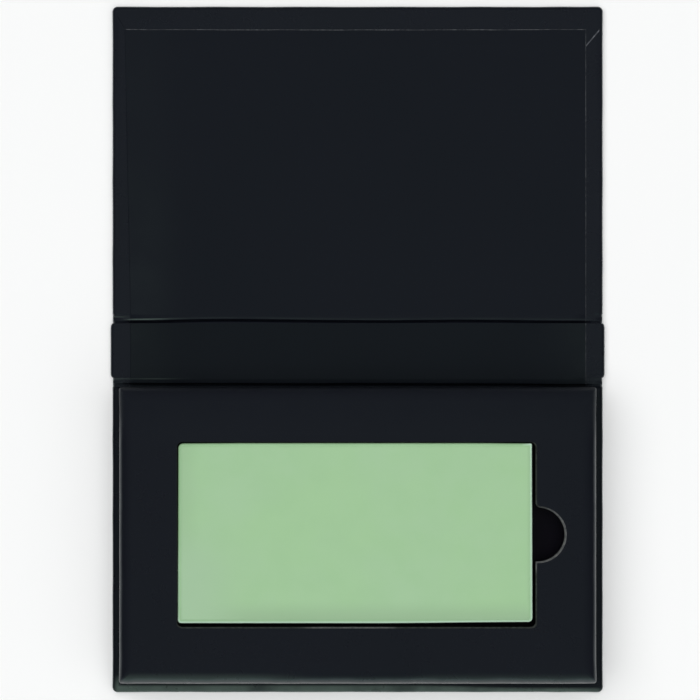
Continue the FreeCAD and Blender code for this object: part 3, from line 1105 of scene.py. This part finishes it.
def tray_covering():
    """Paper over the deck: cut out at the window, rolled down four sides, mitred, and turned under."""
    drops = [side_roll * (1 - cos(a)) for a in quarter_turn(14)]
    drops += [side_roll + (front_roll - side_roll) * k / 3 for k in (1, 2, 3)]
    rings = [tray_ring(tray_high.z, deck_hold)]
    rings += [tray_ring(tray_high.z - drop) for drop in drops]
    rings += [tray_ring(z) for z in (*tray_side_heights, tray_low.z + tray_foot)]
    rings += [tray_ring(tray_low.z, inset) for inset in (tray_foot_inset, tray_turn_under)]
    verts, faces = loft(rings, True)
    piece = make_piece("tray_covering", verts, faces, [tray_paper, cut_edge])
    close_deck(piece, len(rings[0]))
    return thicken(piece)


def hand_cut(x, y):
    """A point of the hand-cut pad: narrower to the rear, short at all corners but the front left."""
    across = (x - pad_low.x) / (pad_high.x - pad_low.x)
    along = (y - pad_low.y) / (pad_high.y - pad_low.y)
    at_left = (1 - across) ** pad_cut_power
    at_right = across ** pad_cut_power
    in_front = (1 - along) ** pad_cut_power
    at_rear = along ** pad_cut_power
    front_right = past(across, start=0.55, run=0.45)
    ends = past(-across, start=-0.2, run=0.2) + past(across, start=0.85, run=0.15)
    x += along * pad_rear_taper * (at_left - at_right)
    y += pad_front_short * front_right * in_front - pad_rear_short * ends * at_rear
    return x, y


def pad_ring(inset, z):
    """The pad's outline drawn in by inset, with its own radius at each corner."""
    radii = [max(r - inset, pad_least_corner) for r in pad_corners]
    sides = (pad_low.x + inset, pad_high.x - inset, pad_low.y + inset, pad_high.y - inset)
    bends = corner_arcs(*sides, radii, pad_corner_steps)
    ring = []
    for k, bend in enumerate(bends):
        count = pad_short_steps if k % 2 else pad_long_steps
        ring += bend + spread_line(bend[-1], bends[(k + 1) % 4][0], count)
    return [(*hand_cut(x, y), z) for x, y in ring]


def pad_slab():
    """Damp foam slab: drawn-in sides, rounded top edges and a flat top."""
    foot = pad_low.z + pad_foot
    rim_foot = pad_high.z - pad_rim_h
    steps = 8
    rings = [pad_ring(pad_foot_inset, pad_low.z)]
    for k in range(steps + 1):
        share = k / steps
        rings.append(pad_ring(pad_waist * sin(pi * share), foot + share * (rim_foot - foot)))
    for turn in quarter_turn(steps)[1:]:
        rings.append(pad_ring(pad_rim_w * (1 - cos(turn)), rim_foot + pad_rim_h * sin(turn)))
    rings += [pad_ring(inset, pad_high.z) for inset in pad_top_insets]
    verts, faces = loft(rings, True)
    count = len(rings[0])
    faces.append(tuple(range(count - 1, -1, -1)))
    faces.append(tuple(range(len(verts) - count, len(verts))))
    return make_piece("pad_slab", verts, faces, [pad_foam], sharp=50)


def damp_palette_sheet():
    """Palette paper laid on the pad, held flat by the damp with the slightest ripple."""
    def ripple(x, y):
        return sheet_ripple * inward(0.7 * x + 0.4 * y, phase=0.3)

    xs = [sheet_low.x] + spread(sheet_low.x, sheet_high.x, count=60) + [sheet_high.x]
    ys = [sheet_low.y] + spread(sheet_low.y, sheet_high.y, count=30) + [sheet_high.y]
    rows = [[(x, y, sheet_low.z + sheet_t + ripple(x, y)) for x in xs] for y in ys]
    verts, faces, marks = sheet_mesh(rows, lambda x, y, z: sheet_t)
    return make_piece("damp_palette_sheet", verts, faces, [damp_sheet()], marks)


def settle(piece, body, slot, *nodes):
    """Put a piece on its body, in place of the solids that it stands for."""
    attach(piece, body)
    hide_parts(*nodes)
    return piece


def settle_fold(piece, front_body, rear_body, front_y, rear_y, slot, node):
    """Fix a fold's paper where it lies, in place of its solid."""
    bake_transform(piece)
    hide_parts(node)


def build_case():
    """The covered boards, their linings, the corner flaps and the papers of both folds."""
    cover = turned_panel("cover_covering", cover_low.y, cover_high.y, covering)
    settle(cover, "cover", "covering_paper", "cover_wrap")
    base = turned_panel("base_covering", base_high.y, base_low.y, shaded_base_paper)
    settle(base, "base", "covering_paper", "base_wrap")
    # Painted sheen along the base's front edge.
    mark_painted_light(base, base_front_sheen)
    settle(spine_covering(), "spine", "covering_paper", "spine_wrap")
    # Name, side, drop and slope of the cut, width of its bare core, and that core's paper
    flaps = (
        # The left flap's cut takes the base's darker paper: painted shade along the cut.
        ("cover_flap_left", -1, 0.5, 1.7, 0.25, shaded_base_paper),
        ("cover_flap_right", 1, 7.0, 1.18, 0.6, bare_core),
    )
    for flap in flaps:
        settle(corner_flap(*flap), "cover", "covering_paper", "cover_wrap")
    mark_painted_light(settle(cover_lining(), "cover", "lining_paper", "cover_lining"), lining_left_sheen)
    mark_painted_light(settle(spine_lining(), "spine", "lining_paper", "spine_lining"), spine_ends_eased)
    # Name, bodies in front and behind, edges of the gap, bed line, paper of the lining, and painted
    # highlight
    folds = (
        ("cover", ("spine", "cover"), (spine_high.y, cover_low.y), cover_bed, lining, cover_crest_highlight),
        ("base", ("base", "spine"), (base_high.y, spine_low.y), base_bed, shaded_spine_paper, base_crest_highlight),
    )
    for fold, bodies, edges, knots, finish, crest_light in folds:
        inner = fold_lining(f"{fold}_fold_lining", *edges, knots, finish)
        outer = fold_covering(f"{fold}_fold_covering", *edges, knots)
        mark_painted_light(inner, crest_light)
        mark_painted_light(outer, crest_light)
        settle_fold(inner, *bodies, *edges, "lining_paper", f"{fold}_joint_lining")
        settle_fold(outer, *bodies, *edges, "covering_paper", f"{fold}_joint_wrap")


def build_tray():
    """The tray's covering, the pad and the palette sheet."""
    settle(tray_covering(), "base", "covering_paper", "tray_wrap")
    pad = settle(pad_slab(), "pad", "pad_foam", "sponge_pad")
    mark_painted_light(pad, pad_rim_highlight)
    sheet = settle(damp_palette_sheet(), "sheet", "sheet_paper", "palette_sheet")


def build_floor():
    """A plain pale floor, wide enough for every view."""
    shader = Look("studio_floor")
    shader.colour(shader.mix(shader.noise(400), (0.925, 0.925, 0.925), (0.935, 0.935, 0.935)))
    shader.set(Roughness=0.9)
    size = FLOOR_REACH
    corners = [(-size, -size, 0.0), (size, -size, 0.0), (size, size, 0.0), (-size, size, 0.0)]
    make_piece("studio_floor", corners, [(0, 1, 2, 3)], [shader.material])


def soft_sun(name, energy, heading):
    """A broad lamp that lights without a mirror image of itself, as through crossed filters."""
    lamp = bpy.data.lights.new(name, "SUN")
    lamp.energy = energy
    lamp.angle = radians(SUN_SPREAD)
    holder = bpy.data.objects.new(name, lamp)
    holder.rotation_euler = Vector(heading).to_track_quat("-Z", "Y").to_euler()
    holder.visible_glossy = False
    bpy.context.scene.collection.objects.link(holder)


def build_room():
    """A dim room with a low pale light in front."""
    world = bpy.data.worlds.new("room")
    bpy.context.scene.world = world
    world.use_nodes = True
    tree = world.node_tree
    add = tree.nodes.new
    join = tree.links.new
    direction = add("ShaderNodeTexCoord")
    parts = add("ShaderNodeSeparateXYZ")
    join(direction.outputs["Generated"], parts.inputs["Vector"])
    forward = add("ShaderNodeMapRange")
    forward.inputs["From Min"].default_value = 1.0
    forward.inputs["From Max"].default_value = -1.0
    join(parts.outputs["Y"], forward.inputs["Value"])

    def ramp(source, levels):
        made = add("ShaderNodeValToRGB")
        stops = made.color_ramp.elements
        while len(stops) < len(levels):
            stops.new(0.5)
        for stop, (place, colour) in zip(stops, levels):
            stop.position = place
            stop.color = (*colour, 1.0)
        join(source, made.inputs["Fac"])
        return made.outputs["Color"]

    def combine(kind, first, second):
        made = add("ShaderNodeMix")
        made.data_type = "RGBA"
        made.blend_type = kind
        made.inputs["Factor"].default_value = 1.0
        join(first, made.inputs[MIX_FIRST])
        join(second, made.inputs[MIX_SECOND])
        return made.outputs[MIX_RESULT]

    around = combine("MULTIPLY", ramp(parts.outputs["Z"], ROOM), ramp(forward.outputs["Result"], REAR))
    total = combine("ADD", around, ramp(forward.outputs["Result"], FRONT))
    join(total, tree.nodes["Background"].inputs["Color"])


def build_camera():
    """The photograph's view, straight down."""
    camera = bpy.data.cameras.new("camera")
    camera.sensor_width = sensor_width
    camera.lens = sensor_width * camera_height / (photo_px * mm_per_px)
    camera.clip_start = 0.01
    camera.clip_end = 100.0
    holder = bpy.data.objects.new("camera", camera)
    holder.location = (camera_x * MM, camera_y * MM, camera_height * MM)
    bpy.context.scene.collection.objects.link(holder)
    bpy.context.scene.camera = holder


dress_cad_nodes()
build_case()
build_tray()
build_floor()
soft_sun("key", 2.42, (0.32, -0.36, -1.5))
soft_sun("fill", 0.85, (-0.6, 0.45, -1.2))
build_room()
build_camera()
bpy.context.scene.view_settings.view_transform = "Standard"
bpy.context.view_layer.update()
